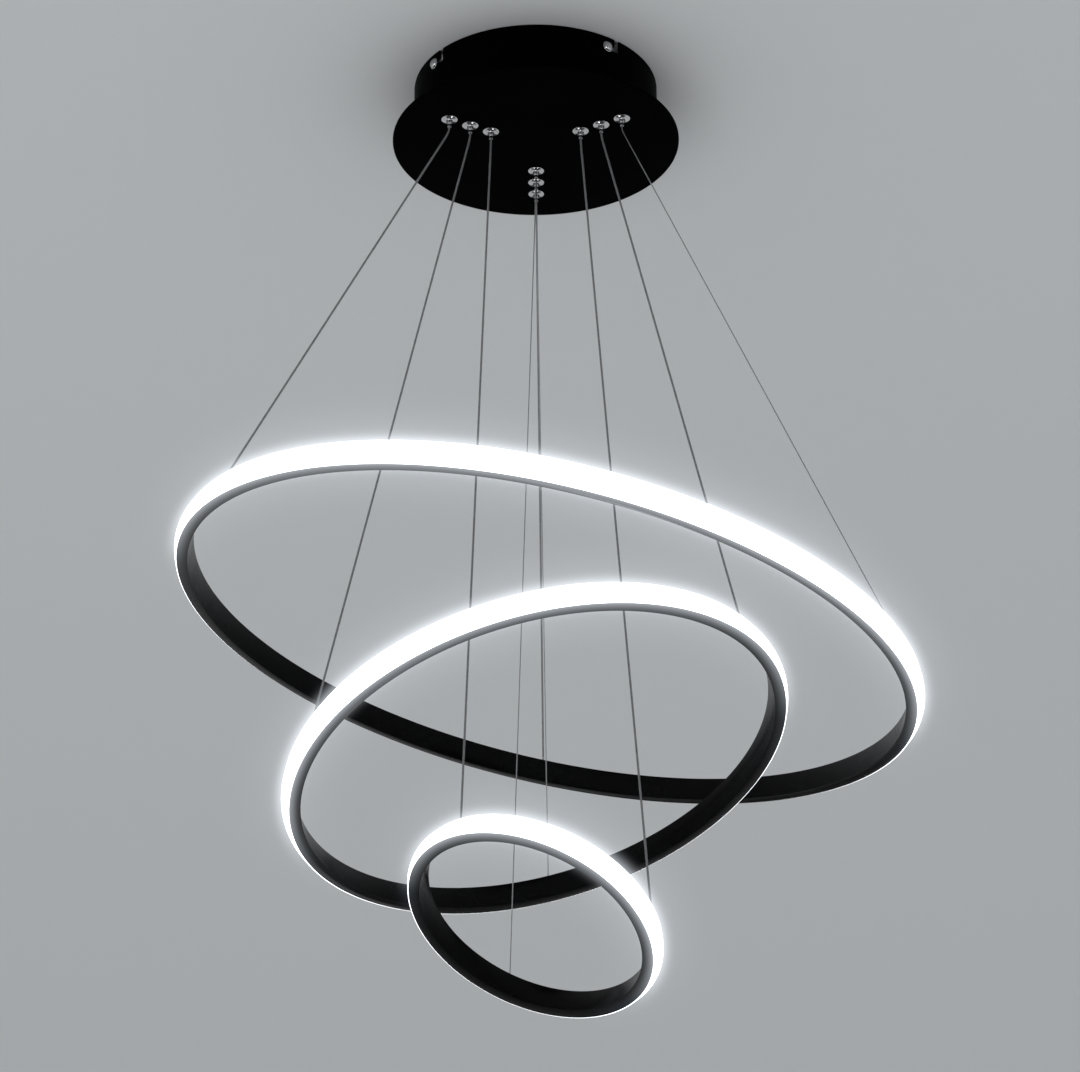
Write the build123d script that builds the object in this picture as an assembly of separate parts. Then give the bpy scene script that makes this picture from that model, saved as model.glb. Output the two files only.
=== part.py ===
"""LED ring chandelier: three lit rings on nine wires under one round canopy.

Millimetres, +Z up. The origin is the centre of the ceiling face of the bracket, so the whole
lamp hangs below z = 0. +Y points away from the viewer, and the rear wires hang on that side.
"""

from build123d import *
from math import cos, degrees, pi, radians, sin, sqrt, tan
import os

# Canopy: a steel drum against the ceiling, closed by a wider disc
DRUM_DIAMETER = 209.0
DRUM_HEIGHT = 50.0
DRUM_WALL = 1.2
DRUM_LIP = 5.0
DISC_DIAMETER = 245.0
DISC_THICKNESS = 3.0

# Cross bracket on the ceiling, and the four side screws that the drum hangs on
BRACKET_THICKNESS = 1.5
ARM_WIDTH = 22.0
EAR_WIDTH = 16.0
EAR_HEIGHT = 17.0
CABLE_ENTRY_DIAMETER = 20.0
CEILING_SCREW_CIRCLE = 80.0
CEILING_SCREW_HOLE = 5.0
SIDE_SCREW_COUNT = 4
SIDE_SCREW_AZIMUTH = 35.4
SIDE_SCREW_DEPTH = 9.8
SIDE_SCREW_DIAMETER = 4.0
SIDE_SCREW_INNER_LENGTH = 8.0
SCREW_HEAD_DIAMETER = 9.4
SCREW_HEAD_CROWN = 5.0
SCREW_HEAD_HEIGHT = 3.4
BAYONET_TURN = 5.4
BAYONET_SLOT_WIDTH = 4.8

# Cable grips: a flanged barrel, its lock nut and the plunger that frees the wire
GRIP_INSET = 20.5
GRIP_ROW_PITCH = 20.0
BARREL_DIAMETER = 8.0
BARREL_LENGTH = 10.0
FLANGE_DIAMETER = 13.8
FLANGE_THICKNESS = 1.4
BOSS_DIAMETER = 5.0
BOSS_TIP_DIAMETER = 3.8
BOSS_LENGTH = 4.6
GRIP_NUT_ACROSS_FLATS = 11.0
GRIP_NUT_HEIGHT = 3.0
PLUNGER_DIAMETER = 2.6
PLUNGER_TIP_DIAMETER = 3.6
PLUNGER_TIP_HEIGHT = 1.3
PLUNGER_REACH = 7.7
PLUNGER_DEPTH = 3.0

# Driver, terminal block and earth terminal on top of the disc
DRIVER_LENGTH = 96.0
DRIVER_WIDTH = 34.0
DRIVER_HEIGHT = 24.0
DRIVER_WALL = 1.2
DRIVER_CENTRE_Y = -56.0
DRIVER_BOARD_THICKNESS = 1.6
DRIVER_BOARD_STANDOFF = 3.0
TRANSFORMER_LENGTH = 22.0
COIL_LENGTH = 9.0
CAPACITOR_LENGTH = 12.0
DRIVER_COMPONENT_WIDTH = 17.0
DRIVER_COMPONENT_HEIGHT = 12.0
TERMINAL_POLE_PITCH = 10.0
TERMINAL_POLES = 3
TERMINAL_DEPTH = 18.0
TERMINAL_HEIGHT = 15.0
TERMINAL_OPENING = 5.0
EARTH_CENTRE = (48.0, 36.0)
EARTH_SCREW_ACROSS_FLATS = 7.0
EARTH_SCREW_HEIGHT = 3.2
EARTH_TAG_LENGTH = 18.0
EARTH_TAG_WIDTH = 8.0
EARTH_TAG_THICKNESS = 0.8
LEAD_DIAMETER = 4.4

# Rings: an extruded channel rolled into a circle, open outwards, under a white diffuser
PROFILE_HEIGHT = 20.0
PROFILE_DEPTH = 9.0
CHANNEL_WALL = 1.2
DIFFUSER_THICKNESS = 1.2
DIFFUSER_CROWN = 4.0
DIFFUSER_LAND = 4.8
LED_BOARD_PITCH = 60.0
LED_BOARD_GAP = 4.0
LED_BOARD_HEIGHT = 8.0
LED_BOARD_THICKNESS = 1.0
LED_LINE_HEIGHT = 3.0
LED_LINE_THICKNESS = 0.6
LED_LINE_MARGIN = 4.0
SPLICE_LENGTH = 40.0
SPLICE_HEIGHT = 2.4
SPLICE_THICKNESS = 2.0
SPLICE_AZIMUTH = 270.0

# name: channel's outer diameter, drop of the centre below the disc, sideways hang, lean of the
# ring, azimuth of its low side, and azimuths of its three wires about the ring's own axis
RINGS = {
    "large": dict(diameter=600.0, drop=455.0, side=5.0, lean=13.2, low_side=9.1,
                  left=211.0, right=335.0, rear=90.3),
    "medium": dict(diameter=400.0, drop=554.4, side=-1.2, lean=20.8, low_side=133.2,
                   left=211.4, right=330.8, rear=90.8),
    "small": dict(diameter=200.0, drop=684.5, side=-4.9, lean=31.6, low_side=47.1,
                  left=220.0, right=335.0, rear=95.8),
}

# Wires: two of each ring's three carry the current inside a clear jacket
GRIP_AZIMUTHS = {"left": 210.0, "right": 330.0, "rear": 90.0}
JACKETED_WIRE_DIAMETER = 1.8
BARE_WIRE_DIAMETER = 1.0
BARE_WIRES = {"large": "right", "medium": "rear", "small": "rear"}
WIRE_DROP_BELOW_PLUNGER = 4.0
WIRE_BEND_REACH = 3.6
WIRE_HOLE_DIAMETER = 3.8
WIRE_STOP_WIDTH = 3.0
WIRE_STOP_HEIGHT = 2.5
WIRE_END_ABOVE = 4.5

# Clearances
RUNNING_CLEARANCE = 0.05
HOLE_CLEARANCE = 0.1
SEAT_GAP = 0.05
FREE_GAP = 0.3

# Where a box or a plate lies from its placing point: on top of it, or hanging from it
STANDING = (Align.CENTER, Align.CENTER, Align.MIN)
HANGING = (Align.CENTER, Align.CENTER, Align.MAX)

DISC_TOP = -DRUM_HEIGHT
DISC_UNDERSIDE = DISC_TOP - DISC_THICKNESS
DRUM_BORE_RADIUS = DRUM_DIAMETER / 2 - DRUM_WALL
BARREL_TOP = DISC_UNDERSIDE + BARREL_LENGTH
PLUNGER_TIP_Z = DISC_UNDERSIDE - PLUNGER_REACH

# The grips stand in three rows, counted inwards from the drum's wall
LARGE_GRIP_RADIUS = DRUM_DIAMETER / 2 - GRIP_INSET
GRIP_CIRCLE_RADII = {
    name: LARGE_GRIP_RADIUS - row * GRIP_ROW_PITCH for row, name in enumerate(RINGS)
}

# Each driver component by its place, as a share of the board's length from its middle
DRIVER_COMPONENT_LENGTHS = {-0.25: TRANSFORMER_LENGTH, 0.12: COIL_LENGTH, 0.33: CAPACITOR_LENGTH}


def at_azimuth(angle):
    """A turn about the lamp's vertical axis, counted from +X."""
    return Rot(0, 0, angle)


def turned(points):
    """A solid of revolution about Z from its (radius, height) outline."""
    outline = make_face(Polyline(*points, close=True))
    return revolve(Plane.XZ * outline, Axis.Z)


def hex_nut(across_flats, height, bore_radius):
    body = extrude(RegularPolygon(across_flats / 2, 6, major_radius=False), height)
    return body - extrude(Circle(bore_radius), height)


def side_screw_azimuths():
    return [SIDE_SCREW_AZIMUTH + k * 360.0 / SIDE_SCREW_COUNT for k in range(SIDE_SCREW_COUNT)]


def ear_face_radius():
    """Flat outer face of an ear, with its corners clear of the round drum."""
    return sqrt(DRUM_BORE_RADIUS**2 - (EAR_WIDTH / 2) ** 2) - FREE_GAP


def make_ceiling_bracket():
    """A pressed steel cross whose four arms end in ears that are turned down."""
    reach = ear_face_radius()
    cut = 4 * BRACKET_THICKNESS
    ear_hole = Cylinder(SIDE_SCREW_DIAMETER / 2 + RUNNING_CLEARANCE, cut)
    ear_hole = Pos(reach, 0, -SIDE_SCREW_DEPTH) * Rot(0, 90, 0) * ear_hole
    ceiling_hole = Pos(CEILING_SCREW_CIRCLE / 2, 0, 0) * Cylinder(CEILING_SCREW_HOLE / 2, cut)
    flat = Box(reach, ARM_WIDTH, BRACKET_THICKNESS, align=(Align.MIN, Align.CENTER, Align.MAX))
    ear = Pos(reach - BRACKET_THICKNESS / 2, 0, 0) * Box(
        BRACKET_THICKNESS, EAR_WIDTH, EAR_HEIGHT, align=HANGING
    )
    arm = flat + ear - ear_hole - ceiling_hole
    bracket = Part()
    for azimuth in side_screw_azimuths():
        bracket += at_azimuth(azimuth) * arm
    return bracket - Cylinder(CABLE_ENTRY_DIAMETER / 2, cut)


def make_side_screws():
    """Chrome cap screws: a shank through the drum's slot into the ear, and a bevelled head."""
    shank = SIDE_SCREW_DIAMETER / 2
    head = SCREW_HEAD_DIAMETER / 2
    seat = DRUM_DIAMETER / 2 + SEAT_GAP
    inner_end = ear_face_radius() - SIDE_SCREW_INNER_LENGTH
    outline = [
        (0, inner_end),
        (shank, inner_end),
        (shank, seat),
        (head, seat),
        (SCREW_HEAD_CROWN / 2, seat + SCREW_HEAD_HEIGHT),
        (0, seat + SCREW_HEAD_HEIGHT),
    ]
    screw = Pos(0, 0, -SIDE_SCREW_DEPTH) * Rot(0, 90, 0) * turned(outline)
    return [at_azimuth(azimuth) * screw for azimuth in side_screw_azimuths()]


def make_canopy_drum():
    """A rolled wall with an inward lip below and four bayonet slots in its upper rim."""
    outer = DRUM_DIAMETER / 2
    lip_edge = DRUM_BORE_RADIUS - DRUM_LIP
    drum = turned(
        [
            (outer, 0),
            (outer, DISC_TOP),
            (lip_edge, DISC_TOP),
            (lip_edge, DISC_TOP + DRUM_WALL),
            (DRUM_BORE_RADIUS, DISC_TOP + DRUM_WALL),
            (DRUM_BORE_RADIUS, 0),
        ]
    )
    slot_run = radians(BAYONET_TURN) * outer
    wall_cut = 6 * DRUM_WALL
    run = extrude(SlotCenterToCenter(slot_run, BAYONET_SLOT_WIDTH), wall_cut, both=True)
    run = Pos(outer, 0, -SIDE_SCREW_DEPTH) * Rot(90, 0, 90) * run
    entry = Box(2 * wall_cut, BAYONET_SLOT_WIDTH, SIDE_SCREW_DEPTH, align=HANGING)
    entry = Pos(outer, 0, 0) * entry
    for azimuth in side_screw_azimuths():
        drum -= at_azimuth(azimuth + BAYONET_TURN / 2) * run
        drum -= at_azimuth(azimuth + BAYONET_TURN) * entry
    return drum


def make_canopy_disc():
    """The wide lower plate, welded under the drum's lip, with a hole for each grip."""
    disc = Pos(0, 0, DISC_UNDERSIDE) * extrude(Circle(DISC_DIAMETER / 2), DISC_THICKNESS)
    hole = Cylinder(BARREL_DIAMETER / 2 + HOLE_CLEARANCE, 4 * DISC_THICKNESS)
    for x, y in grip_places().values():
        disc -= Pos(x, y, DISC_TOP) * hole
    return disc


def grip_places():
    """Where each wire's grip stands on the disc: three lines of three at 120 degrees."""
    places = {}
    for ring, radius in GRIP_CIRCLE_RADII.items():
        for side, azimuth in GRIP_AZIMUTHS.items():
            x = radius * cos(radians(azimuth))
            y = radius * sin(radians(azimuth))
            places[ring, side] = (x, y)
    return places


def make_grip_body():
    """One barrel: bevelled flange below the disc, tapered boss, and a bore for the plunger."""
    bore = PLUNGER_DIAMETER / 2 + RUNNING_CLEARANCE
    return turned(
        [
            (bore, BARREL_LENGTH),
            (BARREL_DIAMETER / 2, BARREL_LENGTH),
            (BARREL_DIAMETER / 2, 0),
            (FLANGE_DIAMETER / 2, 0),
            (BOSS_DIAMETER / 2, -FLANGE_THICKNESS),
            (BOSS_TIP_DIAMETER / 2, -BOSS_LENGTH),
            (bore, -BOSS_LENGTH),
        ]
    )


def make_grip_nut():
    nut = hex_nut(GRIP_NUT_ACROSS_FLATS, GRIP_NUT_HEIGHT, BARREL_DIAMETER / 2 + RUNNING_CLEARANCE)
    return Pos(0, 0, DISC_THICKNESS) * nut


def make_plunger(wire_diameter):
    """A sleeve round the wire: pressed up by its collar, it lets the wire slide."""
    bore = wire_diameter / 2 + HOLE_CLEARANCE
    stem = PLUNGER_DIAMETER / 2
    collar = PLUNGER_TIP_DIAMETER / 2
    collar_top = PLUNGER_TIP_HEIGHT - PLUNGER_REACH
    return turned(
        [
            (bore, PLUNGER_DEPTH),
            (stem, PLUNGER_DEPTH),
            (stem, collar_top),
            (collar, collar_top),
            (collar, -PLUNGER_REACH),
            (bore, -PLUNGER_REACH),
        ]
    )


def driver_inner_size(gap):
    """Length and width that fit inside the tray with this gap all round."""
    length = DRIVER_LENGTH - 2 * DRIVER_WALL - 2 * gap
    return length, DRIVER_WIDTH - 2 * DRIVER_WALL - 2 * gap


def make_driver_case():
    """An open steel tray, fixed flat on the disc by an adhesive pad."""
    length, width = driver_inner_size(0)
    tray = Box(DRIVER_LENGTH, DRIVER_WIDTH, DRIVER_HEIGHT - DRIVER_WALL, align=STANDING)
    tray -= Pos(0, 0, DRIVER_WALL) * Box(length, width, DRIVER_HEIGHT, align=STANDING)
    return Pos(0, DRIVER_CENTRE_Y, DISC_TOP) * tray


def make_driver_lid():
    """A flat cover with a rim that drops inside the tray."""
    length, width = driver_inner_size(HOLE_CLEARANCE)
    plate = Box(DRIVER_LENGTH, DRIVER_WIDTH, DRIVER_WALL, align=STANDING)
    rim = Box(length, width, DRIVER_WALL, align=HANGING)
    rim -= Box(length - 2 * DRIVER_WALL, width - 2 * DRIVER_WALL, DRIVER_WALL, align=HANGING)
    return Pos(0, DRIVER_CENTRE_Y, DISC_TOP + DRIVER_HEIGHT - DRIVER_WALL) * (plate + rim)


def make_driver_board():
    """The circuit board with its transformer and capacitors, on a foot at each end."""
    length, width = driver_inner_size(FREE_GAP)
    board = Box(length, width, DRIVER_BOARD_THICKNESS, align=STANDING)
    foot = Box(DRIVER_BOARD_STANDOFF, width, DRIVER_BOARD_STANDOFF, align=HANGING)
    foot_x = length / 2 - DRIVER_BOARD_STANDOFF
    board += Pos(-foot_x, 0, 0) * foot + Pos(foot_x, 0, 0) * foot
    for place, component_length in DRIVER_COMPONENT_LENGTHS.items():
        component = Box(
            component_length, DRIVER_COMPONENT_WIDTH, DRIVER_COMPONENT_HEIGHT, align=STANDING
        )
        board += Pos(place * length, 0, DRIVER_BOARD_THICKNESS) * component
    height = DISC_TOP + DRIVER_WALL + DRIVER_BOARD_STANDOFF
    return Pos(0, DRIVER_CENTRE_Y, height) * board


def make_terminal_block():
    """Three poles side by side, each with an opening for its wire and a screw well above it."""
    length = TERMINAL_POLES * TERMINAL_POLE_PITCH
    block = Box(length, TERMINAL_DEPTH, TERMINAL_HEIGHT, align=STANDING)
    opening = Box(TERMINAL_OPENING, 2 * TERMINAL_DEPTH, TERMINAL_OPENING, align=STANDING)
    well = Box(TERMINAL_OPENING, TERMINAL_OPENING, TERMINAL_HEIGHT, align=STANDING)
    for pole in range(TERMINAL_POLES):
        x = (pole - (TERMINAL_POLES - 1) / 2) * TERMINAL_POLE_PITCH
        block -= Pos(x, 0, TERMINAL_HEIGHT / 3) * opening
        block -= Pos(x, 0, TERMINAL_HEIGHT / 2) * well
    return Pos(0, 0, DISC_TOP) * block


def make_earth_terminal():
    """A tag on a screw that bonds the disc to the earth wire."""
    tag = Box(EARTH_TAG_LENGTH, EARTH_TAG_WIDTH, EARTH_TAG_THICKNESS, align=STANDING)
    head = RegularPolygon(EARTH_SCREW_ACROSS_FLATS / 2, 6, major_radius=False)
    screw = extrude(head, EARTH_SCREW_HEIGHT)
    return Pos(EARTH_CENTRE[0], EARTH_CENTRE[1], DISC_TOP) * (tag + screw)


def make_input_lead():
    """The short sheathed lead from the middle of the terminal block to the driver."""
    height = DISC_TOP + TERMINAL_HEIGHT / 3 + TERMINAL_OPENING / 2
    start = -TERMINAL_DEPTH / 4
    end = DRIVER_CENTRE_Y + DRIVER_WIDTH / 2
    lead = extrude(Plane.XZ * Circle(LEAD_DIAMETER / 2), start - end)
    return Pos(0, start, height) * lead


def cord(name, start, corner, end, diameter):
    """A round cord along two straight runs, with a bend that starts below the plunger."""
    turn = radians((corner - start).get_angle(end - corner))
    bend = WIRE_BEND_REACH / tan(turn / 2)
    path = FilletPolyline(start, corner, end, radius=bend)
    tube = sweep(Plane(origin=path @ 0, z_dir=path % 0) * Circle(diameter / 2), path)
    share = tube.volume / (path.length * pi * diameter**2 / 4)
    print(f"{name}: length {path.length:.0f}, bend {bend:.0f}, volume share {share:.4f}")
    return tube


class Ring:
    """One ring's own frame: its centre, its leaning axis and where its wires meet it."""

    def __init__(self, name):
        spec = RINGS[name]
        self.name = name
        self.outer = spec["diameter"] / 2
        self.inner = self.outer - PROFILE_DEPTH
        self.wire_azimuths = {side: spec[side] for side in GRIP_AZIMUTHS}
        lean = radians(spec["lean"])
        low = radians(spec["low_side"])
        axis = Vector(sin(lean) * cos(low), sin(lean) * sin(low), cos(lean))
        centre = Vector(spec["side"], 0, DISC_UNDERSIDE - spec["drop"])
        self.plane = Plane(origin=centre, x_dir=Vector(0, 1, 0).cross(axis), z_dir=axis)
        self.place = self.plane.location

    def wire_hole(self, side):
        """The wire's hole in the channel's upper wall, in the ring's own frame."""
        azimuth = radians(self.wire_azimuths[side])
        radius = self.outer - PROFILE_DEPTH / 2
        height = PROFILE_HEIGHT / 2 - CHANNEL_WALL / 2
        return Vector(radius * cos(azimuth), radius * sin(azimuth), height)

    def wire_corner(self, side):
        """The corner where the wire, below its plunger, turns towards the ring."""
        x, y = grip_places()[self.name, side]
        return Vector(x, y, PLUNGER_TIP_Z - WIRE_DROP_BELOW_PLUNGER)

    def wire_foot(self, side):
        """The hole in the lamp's frame, and the direction from it up the wire."""
        foot = self.plane.from_local_coords(self.wire_hole(side))
        return foot, (self.wire_corner(side) - foot).normalized()

    def wire_diameter(self, side):
        return BARE_WIRE_DIAMETER if BARE_WIRES[self.name] == side else JACKETED_WIRE_DIAMETER

    def make_channel(self):
        """A C-shaped section, open outwards, with a hole above for each wire."""
        half = PROFILE_HEIGHT / 2
        back = self.inner + CHANNEL_WALL
        roof = half - CHANNEL_WALL
        channel = turned(
            [
                (self.inner, -half),
                (self.outer, -half),
                (self.outer, -roof),
                (back, -roof),
                (back, roof),
                (self.outer, roof),
                (self.outer, half),
                (self.inner, half),
            ]
        )
        hole = Cylinder(WIRE_HOLE_DIAMETER / 2, 2 * CHANNEL_WALL)
        for side in self.wire_azimuths:
            channel -= Pos(self.wire_hole(side)) * hole
        return self.place * channel

    def make_diffuser(self):
        """A crowned white cover, held between the channel's two outer lips."""
        edge = PROFILE_HEIGHT / 2 - CHANNEL_WALL
        land = DIFFUSER_LAND / 2
        crown = self.outer + DIFFUSER_CROWN
        outside = [(self.outer, -edge), (crown, -land), (crown, land), (self.outer, edge)]
        inside = [(radius - DIFFUSER_THICKNESS, height) for radius, height in reversed(outside)]
        return self.place * turned(outside + inside)

    def make_led_boards(self):
        """Straight boards on the channel's back wall, each with one raised line of LEDs."""
        back = self.inner + CHANNEL_WALL + SEAT_GAP
        count = round(2 * pi * back / LED_BOARD_PITCH)
        length = 2 * pi * back / count - LED_BOARD_GAP
        on_wall = (Align.MIN, Align.CENTER, Align.CENTER)
        board = Box(LED_BOARD_THICKNESS, length, LED_BOARD_HEIGHT, align=on_wall)
        line = Box(
            LED_LINE_THICKNESS, length - 2 * LED_LINE_MARGIN, LED_LINE_HEIGHT, align=on_wall
        )
        board = Pos(back, 0, 0) * (board + Pos(LED_BOARD_THICKNESS, 0, 0) * line)
        return [self.place * at_azimuth(k * 360.0 / count) * board for k in range(count)]

    def make_splice_plates(self):
        """Two curved plates that bridge the channel's seam, above and below the boards."""
        back = self.inner + CHANNEL_WALL + SEAT_GAP
        arc = degrees(SPLICE_LENGTH / back)
        roof = PROFILE_HEIGHT / 2 - CHANNEL_WALL - SEAT_GAP
        section = Pos(back + SPLICE_THICKNESS / 2, roof - SPLICE_HEIGHT / 2) * Rectangle(
            SPLICE_THICKNESS, SPLICE_HEIGHT
        )
        upper = revolve(Plane.XZ * section, Axis.Z, arc)
        upper = at_azimuth(SPLICE_AZIMUTH - arc / 2) * upper
        return [self.place * upper, self.place * mirror(upper, Plane.XY)]

    def make_wire_end(self, side):
        """The wire's stiff last stretch through its hole, and the square stop crimped on it."""
        foot, upward = self.wire_foot(side)
        roof_gap = CHANNEL_WALL / 2 + FREE_GAP
        hole = self.wire_hole(side)
        stop = Box(WIRE_STOP_WIDTH, WIRE_STOP_WIDTH, WIRE_STOP_HEIGHT, align=HANGING)
        stop = at_azimuth(self.wire_azimuths[side]) * stop
        stop = self.place * Pos(hole - Vector(0, 0, roof_gap)) * stop
        buried = WIRE_STOP_HEIGHT / 2 + roof_gap - CHANNEL_WALL / 2
        shank = Plane(origin=foot - upward * buried, z_dir=upward) * Circle(
            self.wire_diameter(side) / 2
        )
        return stop + extrude(shank, WIRE_END_ABOVE + buried)

    def make_wire(self, side):
        """From the top of its grip, straight through the plunger, round a bend to the ring."""
        corner = self.wire_corner(side)
        foot, upward = self.wire_foot(side)
        top = Vector(corner.X, corner.Y, BARREL_TOP)
        end = foot + upward * WIRE_END_ABOVE
        return cord(f"{self.name}_{side}_wire", top, corner, end, self.wire_diameter(side))


def build_parts():
    """Every node's name with its solid, or its list of solids."""
    parts = {
        "ceiling_bracket": make_ceiling_bracket(),
        "side_screws": make_side_screws(),
        "canopy_drum": make_canopy_drum(),
        "canopy_disc": make_canopy_disc(),
        "driver_case": make_driver_case(),
        "driver_lid": make_driver_lid(),
        "driver_board": make_driver_board(),
        "terminal_block": make_terminal_block(),
        "earth_terminal": make_earth_terminal(),
        "input_lead": make_input_lead(),
    }
    grip_body = make_grip_body()
    grip_nut = make_grip_nut()
    places = {key: Pos(x, y, DISC_UNDERSIDE) for key, (x, y) in grip_places().items()}
    parts["grip_bodies"] = [place * grip_body for place in places.values()]
    parts["grip_nuts"] = [place * grip_nut for place in places.values()]
    for name in RINGS:
        ring = Ring(name)
        parts[f"{name}_channel"] = ring.make_channel()
        parts[f"{name}_diffuser"] = ring.make_diffuser()
        parts[f"{name}_led_boards"] = ring.make_led_boards()
        parts[f"{name}_splice_plates"] = ring.make_splice_plates()
        parts[f"{name}_side_wire_ends"] = [ring.make_wire_end(side) for side in ("left", "right")]
        parts[f"{name}_rear_wire_end"] = ring.make_wire_end("rear")
        for side in GRIP_AZIMUTHS:
            plunger = make_plunger(ring.wire_diameter(side))
            parts[f"{name}_{side}_plunger"] = places[name, side] * plunger
            parts[f"{name}_{side}_wire"] = ring.make_wire(side)
    return parts


def main():
    os.makedirs("parts", exist_ok=True)
    for name, shape in build_parts().items():
        if isinstance(shape, list):
            shape = Compound(children=[solid for piece in shape for solid in piece.solids()])
        export_step(shape, f"parts/{name}.step")


if __name__ == "__main__":
    main()
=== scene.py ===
from math import cos, pi, radians, sin, tan

import bmesh
import bpy
from mathutils import Matrix, Vector


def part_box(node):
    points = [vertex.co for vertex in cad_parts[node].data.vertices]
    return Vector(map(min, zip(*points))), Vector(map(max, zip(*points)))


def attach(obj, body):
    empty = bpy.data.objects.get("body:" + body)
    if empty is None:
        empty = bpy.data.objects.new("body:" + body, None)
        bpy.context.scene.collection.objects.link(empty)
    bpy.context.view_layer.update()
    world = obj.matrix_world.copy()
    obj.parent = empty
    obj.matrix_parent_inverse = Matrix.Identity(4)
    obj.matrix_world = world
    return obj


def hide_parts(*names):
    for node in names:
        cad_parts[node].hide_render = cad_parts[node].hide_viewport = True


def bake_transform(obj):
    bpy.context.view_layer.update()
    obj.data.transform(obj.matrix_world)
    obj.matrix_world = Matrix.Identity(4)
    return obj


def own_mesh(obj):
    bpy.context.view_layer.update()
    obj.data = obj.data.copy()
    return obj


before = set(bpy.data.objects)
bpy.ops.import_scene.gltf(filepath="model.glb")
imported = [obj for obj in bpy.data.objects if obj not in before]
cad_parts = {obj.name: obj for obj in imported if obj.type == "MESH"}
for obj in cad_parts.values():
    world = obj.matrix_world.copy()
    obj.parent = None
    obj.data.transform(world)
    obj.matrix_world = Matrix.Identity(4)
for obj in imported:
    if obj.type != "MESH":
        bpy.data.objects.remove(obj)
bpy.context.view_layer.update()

# ------------------------------------------------------------------ sizes, in metres
MM = 0.001

PHOTO_WIDTH = 1080
FOCAL_PIXELS = 3000.0
SENSOR_WIDTH = 36.0
CAMERA_PLACE = Vector((0.0015, -2.2247, -1.3830))
CAMERA_PITCH = 0.4091
CAMERA_ROLL = -0.0061

DRUM_RADIUS = 104.5 * MM
DRUM_HEIGHT = 50 * MM
DRUM_WALL = 1.2 * MM
DRUM_LIP = 5 * MM
DISC_RADIUS = 122.5 * MM
DISC_THICKNESS = 3 * MM
DISC_UNDERSIDE = -DRUM_HEIGHT - DISC_THICKNESS
DISC_TOP = DISC_UNDERSIDE + DISC_THICKNESS
DISC_FILLET = 0.9 * MM
DRUM_FILLET = 0.4 * MM
CANOPY_SEGMENTS = 256
SCREW_AZIMUTHS = [35.4 + 90 * k for k in range(4)]
SCREW_DEPTH = 9.8 * MM
SCREW_RADIUS = 2.0 * MM
SCREW_SHANK_LENGTH = 8 * MM
SCREW_HEAD_RADIUS = 4.7 * MM
SCREW_FLANGE_HEIGHT = 0.7 * MM
SCREW_FLANGE_EDGE = 0.15 * MM
SCREW_DOME_INSET = 0.6 * MM
SCREW_DOME_HEIGHT = 2.6 * MM
BAYONET_TURN = 5.4
BAYONET_SLOT_WIDTH = 4.8 * MM
BAYONET_ENTRY_OVERRUN = 2 * MM
FIT_GAP = 0.05 * MM

BARREL_RADIUS = 4.0 * MM
BARREL_LENGTH = 10 * MM
BARREL_CHAMFER = 0.4 * MM
FLANGE_RADIUS = 6.9 * MM
BOSS_RADIUS = 2.5 * MM
BOSS_TIP_RADIUS = 1.9 * MM
BOSS_LENGTH = 4.6 * MM
PLUNGER_RADIUS = 1.3 * MM
PLUNGER_TIP_RADIUS = 1.8 * MM
PLUNGER_TIP_HEIGHT = 1.3 * MM
PLUNGER_REACH = 7.7 * MM
PLUNGER_DEPTH = 3 * MM
PLUNGER_WIRE_GAP = 0.1 * MM
COLLAR_SINK = 0.1 * MM
COLLAR_OVERLAP = 0.3 * MM

PROFILE_HEIGHT = 20 * MM
PROFILE_DEPTH = 9 * MM
CHANNEL_WALL = 1.2 * MM
CHANNEL_LIP = 0.4 * MM
CHANNEL_FILLET = 0.3 * MM
DIFFUSER_THICKNESS = 1.2 * MM
DIFFUSER_CROWN = 4.0 * MM
DIFFUSER_RIM_STEP = 0.9 * MM
DIFFUSER_RIM_EDGE = 0.1 * MM
DIFFUSER_INSIDE_SHARE = 0.94
DIFFUSER_FLANK_SLOPE = 0.45
WIRE_HOLE_RADIUS = 1.9 * MM
WIRE_STOP_WIDTH = 3 * MM
WIRE_STOP_HEIGHT = 2.5 * MM
WIRE_STOP_GAP = 0.3 * MM
WIRE_STOP_BEVEL = 0.2 * MM
WIRE_END_ABOVE = 4.5 * MM
WIRE_END_BELOW = 1.2 * MM
WIRE_END_OVERLAP = 0.4 * MM
WIRE_DROP_BELOW_PLUNGER = 4 * MM
JACKETED_BEND = 22 * MM
BARE_BEND = 10 * MM
JACKET_RADIUS = 0.9 * MM
BARE_RADIUS = 0.5 * MM
JACKET_CORE_SHARE = 0.62
JACKET_STEP = 6 * MM
STRAND_SHARE = 0.464
STRAND_PITCH = 7 * MM
STRAND_STEPS = 9

RINGS = {
    "large": dict(diameter=0.600, drop=0.455, side=0.005, lean=13.2, low_side=9.1,
                  left=211.0, right=335.0, rear=90.3),
    "medium": dict(diameter=0.400, drop=0.5544, side=-0.0012, lean=20.8, low_side=133.2,
                   left=211.4, right=330.8, rear=90.8),
    "small": dict(diameter=0.200, drop=0.6845, side=-0.0049, lean=31.6, low_side=47.1,
                  left=220.0, right=335.0, rear=95.8),
}
RING_SEGMENTS = {"large": 360, "medium": 288, "small": 216}
SIDES = ("left", "right", "rear")
BARE_WIRES = {"large": "right", "medium": "rear", "small": "rear"}
REAR_SPLIT = 0.62


# ------------------------------------------------------------------ materials
OWN_PLACE = "own_place"


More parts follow.
